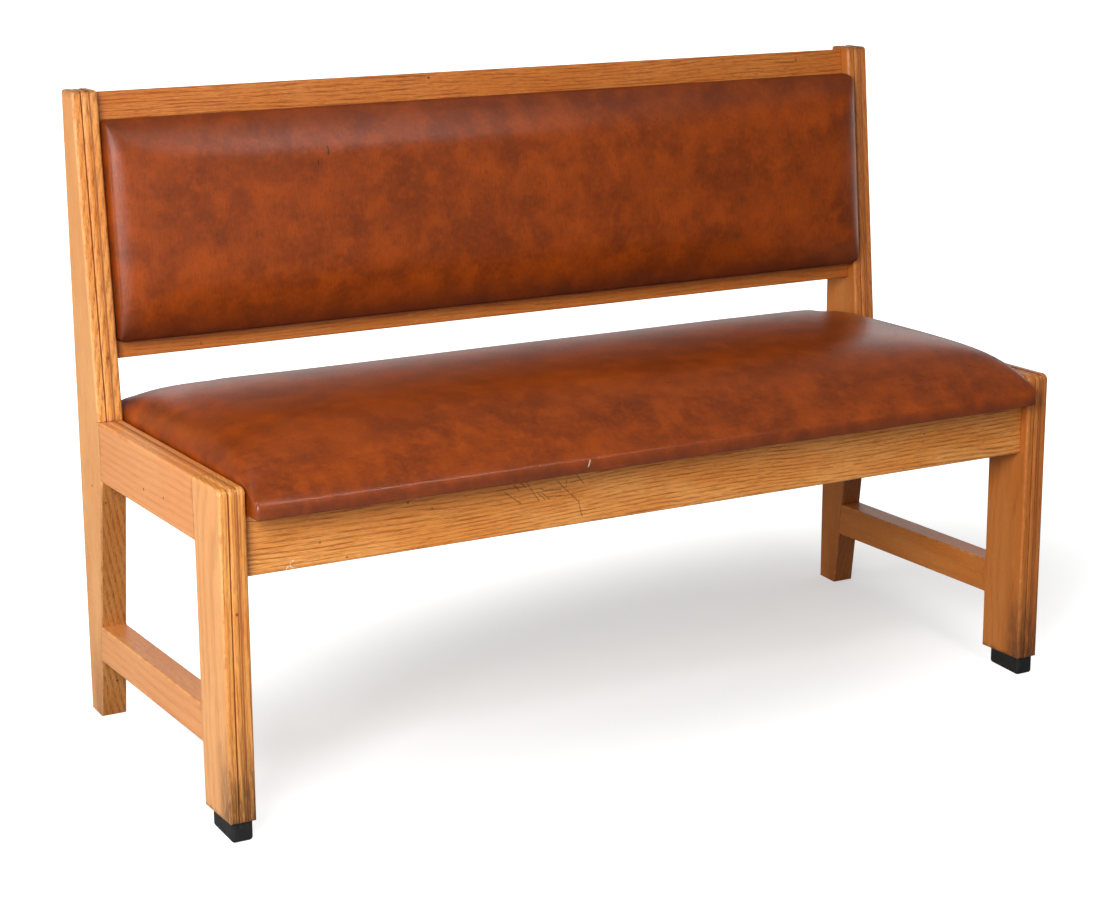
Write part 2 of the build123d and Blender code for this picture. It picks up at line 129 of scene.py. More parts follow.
def soft_light(name, place, target, size, power):
    """A rectangular light that the camera itself doesn't see."""
    data = bpy.data.lights.new(name, "AREA")
    data.shape = "RECTANGLE"
    data.size, data.size_y = size
    data.energy = power
    light = bpy.data.objects.new(name, data)
    bpy.context.scene.collection.objects.link(light)
    light.location = place
    light.rotation_mode = "QUATERNION"
    light.rotation_quaternion = (Vector(target) - Vector(place)).to_track_quat("-Z", "Y")
    light.visible_camera = False


# Shader maths: a socket that Python arithmetic adds nodes to, and the paint that it belongs to
class Wire:
    """A value in a material. Its reflected forms are there so that a number may come first, as in 1 - mask."""

    def __init__(self, paint, socket):
        self.paint = paint
        self.socket = socket

    def __add__(self, other):
        return self.paint.math("ADD", self, other)

    def __radd__(self, other):
        return self.paint.math("ADD", other, self)

    def __sub__(self, other):
        return self.paint.math("SUBTRACT", self, other)

    def __rsub__(self, other):
        return self.paint.math("SUBTRACT", other, self)

    def __mul__(self, other):
        return self.paint.math("MULTIPLY", self, other)

    def __rmul__(self, other):
        return self.paint.math("MULTIPLY", other, self)

    def __truediv__(self, other):
        return self.paint.math("DIVIDE", self, other)

    def __abs__(self):
        return self.paint.math("ABSOLUTE", self)

    def least(self, other):
        return self.paint.math("MINIMUM", self, other)

    def most(self, other):
        return self.paint.math("MAXIMUM", self, other)

    def step(self, low, high):
        """0 below low and 1 above high, smooth between them. Low may be the greater."""
        return self.paint.node("ShaderNodeMapRange", {"interpolation_type": "SMOOTHSTEP"}, self, low, high, 0, 1)

    def scaled(self, low, high):
        """A 0 to 1 value spread from low to high."""
        return self.paint.node("ShaderNodeMapRange", {}, self, 0, 1, low, high)


class Paint:
    """One material: its nodes and its shader."""

    def __init__(self, name):
        self.material = bpy.data.materials.new(name)
        self.material.use_nodes = True
        self.tree = self.material.node_tree
        self.tree.nodes.clear()
        output = self.tree.nodes.new("ShaderNodeOutputMaterial")
        self.shader = self.tree.nodes.new("ShaderNodeBsdfPrincipled")
        self.tree.links.new(self.shader.outputs[0], output.inputs["Surface"])
        self.output = output

    def feed(self, socket, value):
        """Links a value to a socket, or sets it there."""
        if isinstance(value, Wire):
            self.tree.links.new(value.socket, socket)
        elif value is not None:
            socket.default_value = value

    def node(self, kind, settings=None, *values, out=0, named=None):
        """A node of this type, with its settings made first and then its sockets, in order or by name."""
        node = self.tree.nodes.new(kind)
        for key, value in (settings or {}).items():
            setattr(node, key, value)
        for socket, value in zip(node.inputs, values):
            self.feed(socket, value)
        for key, value in (named or {}).items():
            self.feed(node.inputs[key], value)
        return Wire(self, node.outputs[out])

    def math(self, operation, *values):
        """One Math node on these values."""
        return self.node("ShaderNodeMath", {"operation": operation}, *values)

    def mix(self, factor, low, high):
        """Colour between two colours. 6 and 7 are the node's two colour sockets."""
        low, high = [(*colour, 1) if isinstance(colour, tuple) else colour for colour in (low, high)]
        return self.node("ShaderNodeMix", {"data_type": "RGBA"}, factor, out=2, named={6: low, 7: high})

    def vector(self, x, y, z):
        """The vector of three values."""
        return self.node("ShaderNodeCombineXYZ", {}, x, y, z)

    def noise(self, vector, scale=1, detail=2, roughness=0.5):
        """Soft noise from 0 to 1. scale multiplies the vector."""
        return self.node("ShaderNodeTexNoise", {"noise_dimensions": "3D"}, named={
            "Vector": vector, "Scale": scale, "Detail": detail, "Roughness": roughness})

    def cells(self, vector, scale):
        """Distance from the nearest of scattered points."""
        return self.node("ShaderNodeTexVoronoi", {"feature": "F1"}, named={"Vector": vector, "Scale": scale})

    def bench(self):
        """X, Y and Z on the square bench, in millimetres, and the vector that they make."""
        object_coordinates = 3
        place = self.node("ShaderNodeTexCoord", {}, out=object_coordinates)
        location, rotation, _ = TO_BENCH.decompose()
        vector = self.node("ShaderNodeMapping", {}, place, tuple(location), tuple(rotation.to_euler()),
                           (1000, 1000, 1000))
        parts = self.tree.nodes.new("ShaderNodeSeparateXYZ")
        self.tree.links.new(vector.socket, parts.inputs[0])
        return [Wire(self, socket) for socket in parts.outputs] + [vector]

    def finish(self, colour, roughness, height, reach, strength, **sockets):
        """Colour, roughness and height on the shader, and its other sockets as constants. reach is the height's
        size in metres."""
        self.feed(self.shader.inputs["Base Color"], colour)
        self.feed(self.shader.inputs["Roughness"], roughness)
        bump = self.node("ShaderNodeBump", {}, named={"Strength": strength, "Distance": reach, "Height": height})
        self.feed(self.shader.inputs["Normal"], bump)
        for name, value in sockets.items():
            self.feed(self.shader.inputs[name.replace("_", " ")], value)
        return self.material


def tone(red, green, blue):
    """A colour as a picture gives it, from 0 to 255, made linear."""
    return tuple((c / 255 / 12.92) if c <= 10 else ((c / 255 + 0.055) / 1.055) ** 2.4 for c in (red, green, blue))


# Oak
HONEY = tone(228, 146, 66)
PALE_HONEY = tone(238, 168, 90)
DEEP_HONEY = tone(198, 114, 42)
# SHADED_HONEY is the colour of painted shade.
SHADED_HONEY = tone(174, 84, 6)
RUDDY = tone(222, 138, 84)
PORE = tone(148, 70, 8)
GROOVE_SHADE = tone(122, 58, 10)
# GRIME_AND_SHADE is dirt and dark marks, and the painted shade on the posts' lower fronts.
GRIME_AND_SHADE = tone(64, 34, 14)
BARE = tone(250, 206, 152)
CHIPPED = tone(250, 236, 214)
PAINTED_SHEEN = tone(238, 184, 134)
YEAR_WIDTH = 3.4
YEAR_FLATNESS = 0.45
SIDE_FACE = (14.5, 16.8)
GROOVE_PLACE = 5.75
GROOVE_DEPTH = (3.2, 2.2)


def arris(*distances):
    """Distance from the nearest edge of a box-like piece: the second least of the distances from its faces."""
    if len(distances) == 2:
        return distances[0].most(distances[1])
    a, b, c = distances
    return a.least(b).most(a.most(b).least(c))


def oak(name, grain, seed, edges=None, lines=None, joints=(), stain_and_shade=None, chips=None, ruddy=0.0,
        painted_shade=0.0, depth=1.0, calm=None):
    """Clear-finished oak with its grain along one of the bench's axes. edges gives the distances from the piece's
    faces, lines the mask of its grooves, which are darkened with painted shade, joints the distances from its joint
    lines, stain_and_shade a mask of dirt, and on the posts' lower fronts of painted shade, and chips one of pale
    nicks.
    ruddy reddens the board and painted_shade darkens it with painted shade. depth is the figure's strength, and calm
    gives where it is fainter, on the side faces of an end frame, whose outer ones are made paler with a painted
    sheen."""
    paint = Paint(name)
    x, y, z, place = paint.bench()
    if calm is not None:
        depth = calm(x) * depth
    along, across, through = {"x": (x, z, y), "y": (y, z, x), "z": (z, x, y)}[grain]

    def figure(length_rate, width_rate, shift, detail, roughness=0.5):
        """Noise drawn out along the grain, by its rates along and across it."""
        stretched = paint.vector(along * length_rate, across * width_rate, through * width_rate + shift)
        return paint.noise(stretched, detail=detail, roughness=roughness)

    drift = figure(0.0022, 0.008, seed, 1)
    fine_drift = figure(0.016, 0.03, seed, 2)
    side = across + (drift - 0.5) * 30 + (fine_drift - 0.5) * 4 + seed * 3.7
    rise = through + (drift - 0.5) * 20 + 22 + seed * 1.3
    ring = paint.math("SQRT", side * side * YEAR_FLATNESS + rise * rise)
    year = paint.math("FRACT", ring / YEAR_WIDTH)
    early = year.step(0.0, 0.14) * year.step(0.66, 0.3)

    pores = figure(0.019, 1.0, seed, 4, 0.66).step(0.46, 0.57) * early.scaled(0.14, 1)
    dashes = figure(0.07, 1.7, -seed, 2).step(0.54, 0.66)
    fleck = figure(0.09, 0.35, seed * 2, 2).step(0.6, 0.7)
    cloud = figure(0.006, 0.02, seed, 3)
    fibre = figure(0.02, 0.7, seed, 4)

    colour = paint.mix(cloud.step(0.3, 0.7), HONEY, PALE_HONEY)
    # Painted shade: the board is darkened towards SHADED_HONEY where it lies in the bench's shade.
    if painted_shade:
        colour = paint.mix(painted_shade, colour, SHADED_HONEY)
    # Painted sheen: the outer side faces of the end frames are made paler.
    if calm is not None:
        colour = paint.mix(side_of(x).step(*SIDE_FACE) * 0.4, colour, PAINTED_SHEEN)
    colour = paint.mix(fibre.step(0.42, 0.78) * depth * 0.42, colour, DEEP_HONEY)
    colour = paint.mix(early * depth * 0.18, colour, DEEP_HONEY)
    colour = paint.mix(fleck * 0.18, colour, PALE_HONEY)
    colour = paint.mix((pores * 0.72).most(dashes * 0.54) * depth, colour, PORE)
    if ruddy:
        colour = paint.mix(ruddy, colour, RUDDY)

    speck = paint.cells(place, 0.035)
    mark = speck.step(0.09, 0.045) * paint.noise(place, 0.013, 1).step(0.5, 0.62)
    colour = paint.mix(mark * 0.75, colour, GRIME_AND_SHADE)
    scuff = paint.noise(paint.vector(x * 0.05, y * 0.05, z * 0.05 + seed), detail=5, roughness=0.7)
    rough = fibre.scaled(0.34, 0.46) + mark * 0.2
    height = pores * -0.5 + dashes * -0.2 + fibre * 0.12
    if edges is not None:
        near = arris(*edges(x, y, z))
        rub = paint.noise(paint.vector(x * 0.16, y * 0.16, z * 0.16 + seed), detail=5, roughness=0.75)
        worn = near.step(2.4, 0.4) * rub.step(0.47, 0.62)
        colour = paint.mix(worn * 0.42, colour, BARE)
        dirt_and_shade = near.step(6.0, 1.0) * scuff.step(0.5, 0.36)
        colour = paint.mix(dirt_and_shade * 0.4, colour, PORE)
        height = height - worn * 0.6
        rough = rough - worn * 0.08
    if lines is not None:
        groove = lines(x, y, z)
        # Painted shade: the grooves are darkened.
        colour = paint.mix(groove * fibre.scaled(0.6, 1.0), colour, GROOVE_SHADE)
        rough = rough + groove * 0.3
    for joint in joints:
        gap = joint(x, y, z)
        line = gap.step(1.0, 0.25)
        soil_and_shade = gap.step(11, 0.5) * scuff.step(0.4, 0.66)
        colour = paint.mix(line * 0.6, colour, GRIME_AND_SHADE)
        colour = paint.mix(soil_and_shade * 0.34, colour, PORE)
        height = height - line * 1.2
    if stain_and_shade is not None:
        colour = paint.mix(stain_and_shade(paint, x, y, z), colour, GRIME_AND_SHADE)
    if chips is not None:
        colour = paint.mix(chips(paint, x, z), colour, CHIPPED)
    return paint.finish(colour, rough, height, reach=0.0004, strength=0.55, Coat_Weight=0.13, Coat_Roughness=0.28,
                        Specular_IOR_Level=0.4)


def side_of(x):
    """How far outwards of the middle of its end frame's thickness a place is."""
    return abs(x) - frame_x


def frame_faces(x):
    """Distance from the nearer side face of an end frame."""
    return STOCK / 2 - abs(side_of(x))


def calm_sides(x):
    """Weaker figure on the side faces of an end frame than on its moulded fronts."""
    return abs(side_of(x)).step(*SIDE_FACE).scaled(1, 0.42)


def groove_lines(x, depth):
    """1 inside the two grooves of the moulding, which lie near the surface: depth is the distance below it."""
    off = abs(abs(side_of(x)) - GROOVE_PLACE)
    return off.step(1.5, 0.7) * depth.step(*GROOVE_DEPTH)


def post_front(z):
    """Front face of the rear post at a height."""
    lower = POST_FOOT_FRONT + (z * ((POST_RAIL_FRONT - POST_FOOT_FRONT) / SIDE_RAIL_BOTTOM))
    upper = (z - SIDE_RAIL_TOP) * math.tan(rake) + POST_RAIL_FRONT
    return lower.most(upper).most(POST_RAIL_FRONT)


def foot_stain(front):
    """Dirt that has crept up the lowest part of a leg whose front is at this Y."""
    def mask(paint, x, y, z):
        creep = paint.noise(paint.vector(x * 0.12, y * 0.12, z * 0.02), detail=4, roughness=0.65)
        grain = paint.noise(paint.vector(x * 0.7, y * 0.7, z * 0.05), detail=4, roughness=0.7)
        low = (z + creep * 150).step(215, 60) * (y - front).step(46, 4)
        end = z.step(9, 1) * creep.step(0.35, 0.6)
        return (low * grain.step(0.32, 0.54).scaled(0.3, 1) * 0.85).most(end * 0.6)
    return mask


def post_dirt_and_shade(paint, x, y, z):
    """Dirt in the end grain of a post's top and up its foot, and painted shade on its front below the side rail."""
    grain = paint.noise(paint.vector(x * 0.5, y * 0.5, z * 0.3), detail=4, roughness=0.7)
    top = z.step(POST_TOP - 11, POST_TOP - 1) * grain.step(0.4, 0.6) * 0.55
    # Painted shade on the post's front under the side rail.
    low = z.step(SIDE_RAIL_BOTTOM + 2, SIDE_RAIL_BOTTOM - 12) * (y - post_front(z)).step(4, 1) * 0.38
    return top.most(low).most(foot_stain(POST_FOOT_FRONT)(paint, x, y, z) * 0.6)


RAIL_SCRATCHES = ((-240, 360, -217, 343), (-210, 371, -191, 343), (-189, 359, -181, 355), (-164, 365, -134, 335),
                  (-136, 370, -125, 357), (-194, 354, -182, 344), (-181, 355, -159, 353), (-181, 347, -159, 345),
                  (-133, 335, -128, 314), (-227, 368, -220, 361), (-217, 370, -210, 363), (-152, 353, -150, 364),
                  (-186, 352, -176, 343), (152, 373, 166, 371))
RAIL_CHIPS = ((-530, 311, 4.5), (-537, 306, 2.6))


def rail_scratches(paint, x, y, z):
    """Crossed dark scratches on the front rail under the seat's edge, from the X and Z of each one's two ends."""
    bend = paint.noise(paint.vector(x * 0.2, 0.0, z * 0.2), detail=3) - 0.5
    found = None
    for start_x, start_z, end_x, end_z in RAIL_SCRATCHES:
        run, rise = end_x - start_x, end_z - start_z
        along = ((x - start_x) * run + (z - start_z) * rise) / (run * run + rise * rise)
        along = along.most(0).least(1)
        dx, dz = x - start_x - along * run + bend * 3, z - start_z - along * rise
        line = paint.math("SQRT", dx * dx + dz * dz).step(1.2, 0.4)
        found = line if found is None else found.most(line)
    faint = paint.noise(paint.vector(x * 0.3, 2.0, z * 0.3), detail=3).step(0.3, 0.55).scaled(0.15, 0.62)
    return found * faint


def rail_chips(paint, x, z):
    """Small pale arcs near the front rail's lower left corner, from each one's centre and radius."""
    found = None
    worn = paint.noise(paint.vector(x * 0.5, 0.0, z * 0.5), detail=3).step(0.38, 0.56)
    for centre_x, centre_z, radius in RAIL_CHIPS:
        dx, dz = x - centre_x, z - centre_z
        arc = abs(paint.math("SQRT", dx * dx + dz * dz) - radius).step(1.1, 0.3) * dx.step(2, -1)
        found = arc if found is None else found.most(arc)
    return found * worn * 0.8


def from_end_frames(x, y, z):
    """Distance from the shoulder where a long rail meets its end frame."""
    return inner_x - abs(x)


def oak_paints():
    """Material of every oak node."""
    paints = {}
    # Painted shade darkens the right end frame's legs, posts and stretcher, the back rails, and a little the front
    # rail.
    for side, sign in (("left", -1), ("right", 1)):
        paints[side + "_front_leg"] = oak(
            side + "_leg_oak", "z", 3.1 if sign < 0 else 9.4,
            edges=lambda x, y, z: (frame_faces(x), y.least(LEG_DEPTH - y), z.least(SIDE_RAIL_TOP - z)),
            lines=lambda x, y, z: groove_lines(x, y.least(SIDE_RAIL_TOP - z)),
            joints=[lambda x, y, z: abs(z - STRETCHER_TOP).most(abs(y - LEG_FOOT_DEPTH))],
            stain_and_shade=foot_stain(0), calm=calm_sides, painted_shade=0.0 if sign < 0 else 0.65)
        paints[side + "_rear_post"] = oak(
            side + "_post_oak", "z", 17.3 if sign < 0 else 25.8,
            edges=lambda x, y, z: (frame_faces(x), (y - post_front(z)).least(FRAME_DEPTH - y), POST_TOP - z),
            lines=lambda x, y, z: (groove_lines(x, (y - post_front(z)).least(POST_TOP - z))
                                   * z.step(SIDE_RAIL_TOP - 1, SIDE_RAIL_TOP)),
            joints=[lambda x, y, z: abs(z - SIDE_RAIL_TOP).most(y - POST_RAIL_FRONT - 4)],
            stain_and_shade=post_dirt_and_shade, calm=calm_sides, painted_shade=0.0 if sign < 0 else 0.65)
        paints[side + "_side_rail"] = oak(
            side + "_side_rail_oak", "y", 31.6 if sign < 0 else 38.2,
            edges=lambda x, y, z: (frame_faces(x), (z - SIDE_RAIL_BOTTOM).least(SIDE_RAIL_TOP - z)),
            lines=lambda x, y, z: groove_lines(x, SIDE_RAIL_TOP - z),
            joints=[lambda x, y, z: y - LEG_DEPTH, lambda x, y, z: POST_RAIL_FRONT - y], ruddy=0.45,
            calm=calm_sides)
        paints[side + "_stretcher"] = oak(
            side + "_stretcher_oak", "y", 44.9 if sign < 0 else 51.7,
            edges=lambda x, y, z: (frame_faces(x), (z - STRETCHER_BOTTOM).least(STRETCHER_TOP - z)),
            joints=[lambda x, y, z: y - LEG_FOOT_DEPTH], ruddy=0.35 if sign < 0 else 0.0, calm=calm_sides,
            painted_shade=0.0 if sign < 0 else 0.6)
        for inner, grain, seed in (("seat_batten", "y", 60.3), ("front_corner_block", "z", 65.3),
                                   ("rear_corner_block", "z", 70.3)):
            paints[side + "_" + inner] = oak(side + "_" + inner + "_oak", grain, seed + sign, depth=0.8)
    paints["front_seat_rail"] = oak(
        "front_rail_oak", "x", 66.2,
        edges=lambda x, y, z: ((y - FRONT_RAIL_FRONT).least(FRONT_RAIL_BACK - y),
                               (z - SEAT_HEIGHT + SEAT_RAIL_HEIGHT).least(SEAT_HEIGHT - z)),
        joints=[from_end_frames], stain_and_shade=rail_scratches, chips=rail_chips, depth=1.1, painted_shade=0.04)
    paints["rear_seat_rail"] = oak("rear_rail_oak", "x", 71.4, joints=[from_end_frames])
    paints["top_back_rail"] = oak("top_rail_oak", "x", 78.8, joints=[from_end_frames], depth=1.6, painted_shade=0.6)
    paints["lower_back_rail"] = oak("lower_rail_oak", "x", 83.5, joints=[from_end_frames], painted_shade=0.7)
    paints["seat_bearer"] = oak("bearer_oak", "y", 91.1, depth=0.8)
    return paints


# Vinyl
TAN = tone(146, 61, 7)
DARK_TAN = tone(118, 47, 6)
LIGHT_BLOTCH = tone(172, 74, 8)
DARK_BLOTCH = tone(98, 42, 12)
MOTTLE = tone(168, 80, 24)
FINE_SPOT = tone(96, 39, 10)
STREAK = tone(84, 36, 12)
# EDGE_DARK is painted shade along the back pad's edges, and darkens the seat's upright front edge towards its
# bottom.
EDGE_DARK = tone(62, 22, 6)
TORN = tone(42, 18, 12)
NICKED = tone(206, 176, 156)
LONG_TEAR = (-289, 751)
SHORT_TEAR = (-306, 736)
SEAT_NICK = (-138, 392.5)
SEAT_STREAK_RATES = (0.03, 0.6, 0.6)
BACK_STREAK_RATES = (0.75, 0.6, 0.05)


def vinyl(name, seed, streak_rates, streaks, shine, soil_and_shade, marks, mark_tone):
    """Leather-look vinyl: a mottled tan print with darker clouds, faint streaks and a fine pressed grain.
    streak_rates are the streaks' rates along X, Y and Z and streaks their strength, shine is the gloss,
    soil_and_shade a mask of darker, matter colour along the edges, painted shade on the back pad, and marks one of
    small nicks, of mark_tone."""
    paint = Paint(name)
    x, y, z, place = paint.bench()
    warp = paint.noise(place, 0.02, 3)
    cloud = paint.noise(paint.vector(x * 0.009 + seed, y * 0.012 + warp * 0.4, z * 0.014), detail=5, roughness=0.6)
    blotch = paint.noise(paint.vector(x * 0.03, y * 0.03 + seed, z * 0.03 + warp * 0.7), detail=5, roughness=0.62)
    streak = paint.noise(paint.vector(x * streak_rates[0], y * streak_rates[1], z * streak_rates[2] + seed),
                         detail=3, roughness=0.6)
    mottle = paint.noise(paint.vector(x * 0.16, y * 0.16, z * 0.16 + seed), detail=4, roughness=0.6)
    fine = paint.noise(paint.vector(x * 0.45, y * 0.45, z * 0.45 + seed), detail=4, roughness=0.7)
    colour = paint.mix(cloud.step(0.32, 0.66), DARK_TAN, TAN)
    colour = paint.mix(blotch.step(0.46, 0.7) * 0.5, colour, LIGHT_BLOTCH)
    colour = paint.mix(blotch.step(0.5, 0.28) * 0.5, colour, DARK_BLOTCH)
    colour = paint.mix(mottle.step(0.45, 0.72) * 0.2, colour, MOTTLE)
    colour = paint.mix(fine.step(0.5, 0.7) * 0.3, colour, FINE_SPOT)
    colour = paint.mix(streak.step(0.47, 0.66) * streaks, colour, STREAK)
    # Darker, matter edges: painted shade on the back pad.
    dirt_and_shade = soil_and_shade(x, y, z) * warp.scaled(0.4, 0.95)
    colour = paint.mix(dirt_and_shade, colour, EDGE_DARK)
    colour = paint.mix(marks(x, z) * 0.85, colour, mark_tone)
    pebble = paint.cells(place, 0.62)
    crease = paint.noise(place, 0.34, 5, 0.7)
    height = pebble * 0.5 + crease * 0.9
    rough = mottle.scaled(0.24, 0.33) + fine.scaled(-0.03, 0.05) + dirt_and_shade * 0.5
    return paint.finish(colour, rough, height, reach=0.0005, strength=0.5, Specular_IOR_Level=shine)


def back_edge_shade(x, y, z):
    """Painted shade along the back pad's lower edge and, fainter, along its upper one."""
    return z.step(572, 508).most(z.step(760, 792) * 0.45)


def seat_lip_darkening(x, y, z):
    """Darker colour towards the bottom of the upright edge over the front rail."""
    return y.step(SEAT_FRONT + 3, SEAT_FRONT) * z.step(SEAT_HEIGHT + 22, SEAT_HEIGHT + 4) * 0.6


def back_tears(x, z):
    """Two short nicks in the back pad's cover: a long bent one, and a short one beside it."""
    bend = z - LONG_TEAR[1]
    long = abs(x - LONG_TEAR[0] + bend * bend * 0.045).step(1.5, 0.5) * abs(bend).step(7, 5)
    return long.most(abs(x - SHORT_TEAR[0]).step(1.3, 0.4) * abs(z - SHORT_TEAR[1]).step(4, 2.5))


def seat_nick(x, z):
    """A short pale nick in the seat's front edge."""
    rise = z - SEAT_NICK[1]
    return abs(x - SEAT_NICK[0] - rise * 0.38).step(1.5, 0.5) * abs(rise).step(5.5, 3)


# Hidden and small pieces
def rubber():
    """Black rubber, dusty and flecked with paint."""
    paint = Paint("worn_rubber")
    place = paint.bench()[3]
    dust = paint.noise(place, 0.09, 5, 0.7)
    speck = paint.cells(place, 0.32).step(0.2, 0.1) * paint.noise(place, 0.05, 2).step(0.5, 0.6)
    colour = paint.mix(dust.step(0.45, 0.75) * 0.5, tone(15, 15, 16), tone(46, 43, 40))
    colour = paint.mix(speck * 0.5, colour, tone(120, 112, 104))
    return paint.finish(colour, dust.scaled(0.5, 0.75), dust, reach=0.0004, strength=0.4)


def plywood():
    """Bare plywood with a wandering figure."""
    paint = Paint("bare_plywood")
    x, y, z = paint.bench()[:3]
    drift = paint.noise(paint.vector(x * 0.003, y * 0.01, z * 0.01), detail=2)
    figure = paint.math("FRACT", (y + z + drift * 160) / 13)
    fibre = paint.noise(paint.vector(x * 0.02, y * 0.8, z * 0.8), detail=4)
    colour = paint.mix(figure.step(0.1, 0.9) * 0.5, tone(206, 168, 122), tone(170, 126, 80))
    colour = paint.mix(fibre.step(0.5, 0.8) * 0.4, colour, tone(140, 98, 60))
    return paint.finish(colour, fibre.scaled(0.6, 0.75), fibre, reach=0.0003, strength=0.4)


def foam():
    """Pale open-celled foam."""
    paint = Paint("open_foam")
    cell = paint.cells(paint.bench()[3], 0.6)
    colour = paint.mix(cell, tone(222, 196, 138), tone(196, 164, 104))
    return paint.finish(colour, 0.9, cell, reach=0.001, strength=0.5)


def steel(name):
    """Zinc-plated steel with a little rust."""
    paint = Paint(name)
    x, y, z, place = paint.bench()
    scratch = paint.noise(paint.vector(x * 2, y * 2, z * 0.4), detail=3)
    rust = paint.noise(place, 0.3, 4).step(0.56, 0.7)
    colour = paint.mix(scratch, tone(150, 148, 144), tone(190, 188, 184))
    colour = paint.mix(rust * 0.5, colour, tone(110, 74, 50))
    return paint.finish(colour, scratch.scaled(0.3, 0.5) + rust * 0.2, scratch, reach=0.0002, strength=0.3,
                        Metallic=1.0)


# Pads
LIP = 0.6
HELD_ROWS = 3
SWELL_PRESSURE = 4
SWELL_FRAMES = 20
SWELL_CAP = 0.004


def curve_through(points):
    """Smooth function through (place, height) points that never overshoots them."""
    places, heights = np.array(points, float).T
    steps, rises = np.diff(places), np.diff(heights)
    slopes = rises / steps
    tangents = np.concatenate([[slopes[0]], np.zeros(len(slopes) - 1), [slopes[-1]]])
    for i in range(1, len(slopes)):
        if slopes[i - 1] * slopes[i] > 0:
            tangents[i] = 2 * slopes[i - 1] * slopes[i] / (slopes[i - 1] + slopes[i])

    def value(t):
        t = np.clip(t, places[0], places[-1])
        i = np.clip(np.searchsorted(places, t, side="right") - 1, 0, len(steps) - 1)
        s = (t - places[i]) / steps[i]
        return (heights[i] * (1 + 2 * s) * (1 - s) ** 2 + tangents[i] * steps[i] * s * (1 - s) ** 2
                + heights[i + 1] * s ** 2 * (3 - 2 * s) + tangents[i + 1] * steps[i] * s ** 2 * (s - 1))
    return value


def soft_least(a, b, blend):
    """The lesser of two heights, rounded over where they cross."""
    gap = np.maximum(blend - np.abs(a - b), 0) / blend
    return np.minimum(a, b) - gap * gap * blend / 4


def wander(a, b, seed, scale):
    """Gentle repeatable unevenness between -1 and 1."""
    rng = np.random.default_rng(seed)
    total = 0
    for _ in range(7):
        u, v, phase = rng.uniform(-1, 1), rng.uniform(-1, 1), rng.uniform(0, 2 * math.pi)
        total = total + np.sin((a * u + b * v) / scale * 2 * math.pi + phase)
    return total / 7


def edge_stations(length, spacing, near=(0, 0.5, 1.3, 2.6, 4.4, 7, 10.5, 15, 20.5)):
    """Places across a pad, crowded towards both ends."""
    count = max(int((length - 2 * near[-1]) / spacing), 2)
    middle = np.linspace(near[-1], length - near[-1], count + 1)[1:-1]
    return np.concatenate([near, middle, [length - place for place in near[::-1]]])


def rounded_plan(x, y, half, low, high, radius):
    """Moves places near a rectangle's corners into a rounded outline."""
    centre_x, centre_y = np.clip(x, -half + radius, half - radius), np.clip(y, low + radius, high - radius)
    dx, dy = x - centre_x, y - centre_y
    reach, span = np.maximum(np.abs(dx), np.abs(dy)), np.hypot(dx, dy)
    scale = np.where(span > 0, reach / np.maximum(span, 1e-6), 1)
    return centre_x + dx * scale, centre_y + dy * scale


def pad_form(name, low, high, height, foot, radius, spacing, fold, recess, wall_rows, place):
    """Closed form of a covered pad over the plan from -PAD_HALF to PAD_HALF and low to high, and the numbers of the
    vertices that its cover is held by. height gives the top over the plan, foot the bottom edge, radius the rounding
    of the plan's corners, wall_rows the shares of the upright edge at which it has a row, fold how far the cover
    turns in underneath, and recess where it ends."""
    xs = edge_stations(2 * PAD_HALF, spacing) - PAD_HALF
    ys = edge_stations(high - low, spacing) + low
    grid_x, grid_y = np.meshgrid(xs, ys, indexing="ij")
    tops = height(grid_x, grid_y)
    plan_x, plan_y = rounded_plan(grid_x, grid_y, PAD_HALF, low, high, radius)
    mesh = bmesh.new()
    top = [[mesh.verts.new((plan_x[i, j], plan_y[i, j], tops[i, j])) for j in range(len(ys))]
           for i in range(len(xs))]
    for i in range(len(xs) - 1):
        for j in range(len(ys) - 1):
            mesh.faces.new((top[i][j], top[i + 1][j], top[i + 1][j + 1], top[i][j + 1]))

    m, n = len(xs) - 1, len(ys) - 1
    rim = ([(i, 0) for i in range(m)] + [(m, j) for j in range(n)] + [(i, n) for i in range(m, 0, -1)]
           + [(0, j) for j in range(n, 0, -1)])
    ring = [top[i][j] for i, j in rim]
    edge = np.array([vert.co for vert in ring])
    feet = foot(edge[:, 0], edge[:, 1])
    centre = np.array([0, (low + high) / 2])
    half = np.array([PAD_HALF, (high - low) / 2])
    rows = [np.column_stack([edge[:, :2], edge[:, 2] + (feet - edge[:, 2]) * share]) for share in wall_rows]
    for inward, z in ((0.6, feet + 0.4), (1.8, feet), (fold * 0.5, feet), (fold, feet + 0.2),
                      (fold + LIP, np.full_like(feet, recess))):
        rows.append(np.column_stack([(edge[:, :2] - centre) * (1 - inward / half) + centre, z]))
    for row in rows:
        below = [mesh.verts.new(point) for point in row]
        for k in range(len(ring)):
            nxt = (k + 1) % len(ring)
            mesh.faces.new((ring[k], below[k], below[nxt], ring[nxt]))
        ring = below
    lid = dict(zip(rim, ring))
    shrink = 1 - (fold + LIP) / half
    for i in range(m + 1):
        for j in range(n + 1):
            if (i, j) not in lid:
                flat = (np.array((plan_x[i, j], plan_y[i, j])) - centre) * shrink + centre
                lid[i, j] = mesh.verts.new((*flat, recess))
    for i in range(m):
        for j in range(n):
            mesh.faces.new((lid[i, j], lid[i, j + 1], lid[i + 1, j + 1], lid[i + 1, j]))
    bmesh.ops.recalc_face_normals(mesh, faces=mesh.faces)
    data = bpy.data.meshes.new(name)
    mesh.to_mesh(data)
    mesh.free()
    data.transform(TO_ROW @ place)
    piece = bpy.data.objects.new(name, data)
    bpy.context.scene.collection.objects.link(piece)
    held = [i * (n + 1) + j for i in range(m + 1) for j in range(n + 1) if min(i, m - i, j, n - j) < HELD_ROWS]
    return piece, held + list(range((m + 1) * (n + 1), len(data.vertices)))


